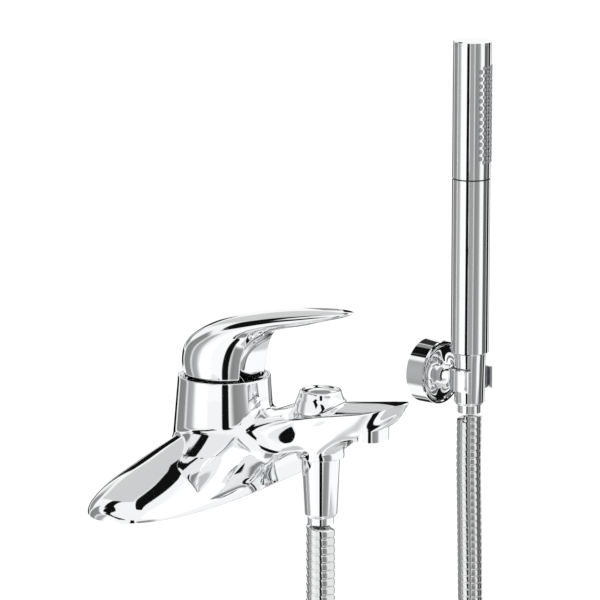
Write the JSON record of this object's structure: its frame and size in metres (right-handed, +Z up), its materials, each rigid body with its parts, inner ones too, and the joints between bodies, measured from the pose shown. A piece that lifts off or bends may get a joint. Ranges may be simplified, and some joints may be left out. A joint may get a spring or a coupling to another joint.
{
  "type": "deck mounted bath shower mixer",
  "caption": "Single lever bath mixer on a bridge body with spout, pull-up diverter, metal hose, stick hand shower and a wall holder.",
  "frame": {"origin": "on the deck, midway between the two tap holes and under the axis of the cartridge", "axes": "+Z up, +X along the wall to the right, -Y towards the bath, the way the spout points"},
  "size_m": [0.4889, 0.1727, 0.7175],
  "materials": {
    "chromed_brass": "polished nickel and chrome plate on brass",
    "chromed_zinc": "polished chrome plate on die-cast zinc",
    "interlocked_steel": "chromed, wound and interlocked strip",
    "plain_brass": "turned",
    "stainless_steel": "turned",
    "black_rubber": "moulded EPDM",
    "grey_silicone": "moulded silicone",
    "white_acetal": "moulded acetal",
    "grey_plastic": "moulded",
    "alumina_ceramic": "lapped"
  },
  "bodies": {
    "mixer": {"mixer_body": "chromed_brass", "deck_gasket": "black_rubber", "inlet_washers": "black_rubber", "inlet_screens": "stainless_steel", "check_valve_hot": "white_acetal", "check_valve_cold": "white_acetal", "cartridge_base": "white_acetal", "cartridge_port_seal": "black_rubber", "fixed_ceramic_disc": "alumina_ceramic", "cartridge_shell": "white_acetal", "cartridge_nut": "plain_brass", "diverter_bush": "plain_brass", "diverter_oring": "black_rubber", "diverter_spring": "stainless_steel", "aerator_ring": "chromed_brass", "aerator_insert": "grey_plastic", "aerator_washer": "black_rubber", "outlet_washer": "black_rubber", "outlet_check_valve": "white_acetal", "hose_cone_mixer": "chromed_brass", "hose_ferrule_mixer": "chromed_brass", "hose": "interlocked_steel", "wall_cover": "chromed_brass", "wall_plate": "plain_brass", "wall_cover_screw": "stainless_steel", "holder_arm": "chromed_zinc", "clip_liner": "grey_plastic"},
    "cartridge_rotor": {"cartridge_carrier": "grey_plastic", "pivot_pin": "stainless_steel"},
    "cartridge_disc": {"moving_ceramic_disc": "alumina_ceramic", "disc_slider": "grey_plastic"},
    "lever_set": {"lever": "chromed_zinc", "lever_screw": "stainless_steel", "lever_plug": "grey_plastic", "cartridge_stem": "stainless_steel"},
    "diverter": {"diverter_knob": "chromed_brass", "diverter_spindle": "plain_brass", "diverter_disc": "plain_brass", "diverter_seal": "black_rubber"},
    "hose_end": {"hose_ferrule_handset": "chromed_brass"},
    "handset": {"hose_cone_handset": "chromed_brass", "handset_washer": "black_rubber", "handset_flow_limiter": "white_acetal", "handset_handle": "chromed_brass", "handset_joint_ring": "black_rubber", "handset_tube": "white_acetal", "handset_head": "chromed_brass", "nozzle_plate": "grey_silicone", "handset_cap": "chromed_brass", "handset_cap_seal": "black_rubber"}
  },
  "joints": [
    {"name": "lever_turn", "type": "hinge", "parent": "mixer", "child": "cartridge_rotor", "pos_m": [0, 0, 0.054], "axis": [0, 0, 1], "range_deg": [-45, 45]},
    {"name": "lever_lift", "type": "hinge", "parent": "cartridge_rotor", "child": "lever_set", "pos_m": [0, 0, 0.054], "axis": [-1, 0, 0], "range_deg": [0, 20]},
    {"name": "disc_slide", "type": "slide", "parent": "cartridge_rotor", "child": "cartridge_disc", "axis": [0, -1, 0], "range_m": [0, 0.0042]},
    {"name": "diverter_pull", "type": "slide", "parent": "mixer", "child": "diverter", "axis": [0, 0, 1], "range_m": [0, 0.006], "stiffness_N_per_m": 200, "springref_m": -0.008, "deforming": ["diverter_spring"]},
    {"name": "handset_lift", "type": "slide", "parent": "mixer", "child": "hose_end", "axis": [0, 0, 1], "range_m": [0, 0.06]},
    {"name": "handset_turn", "type": "hinge", "parent": "hose_end", "child": "handset", "pos_m": [0.3415, 0.0275, -0.0245], "axis": [0, 0, 1], "continuous": true}
  ],
  "couplings": [
    {"joint": "disc_slide", "follows": "lever_lift", "m_per_rad": 0.01175}
  ]
}
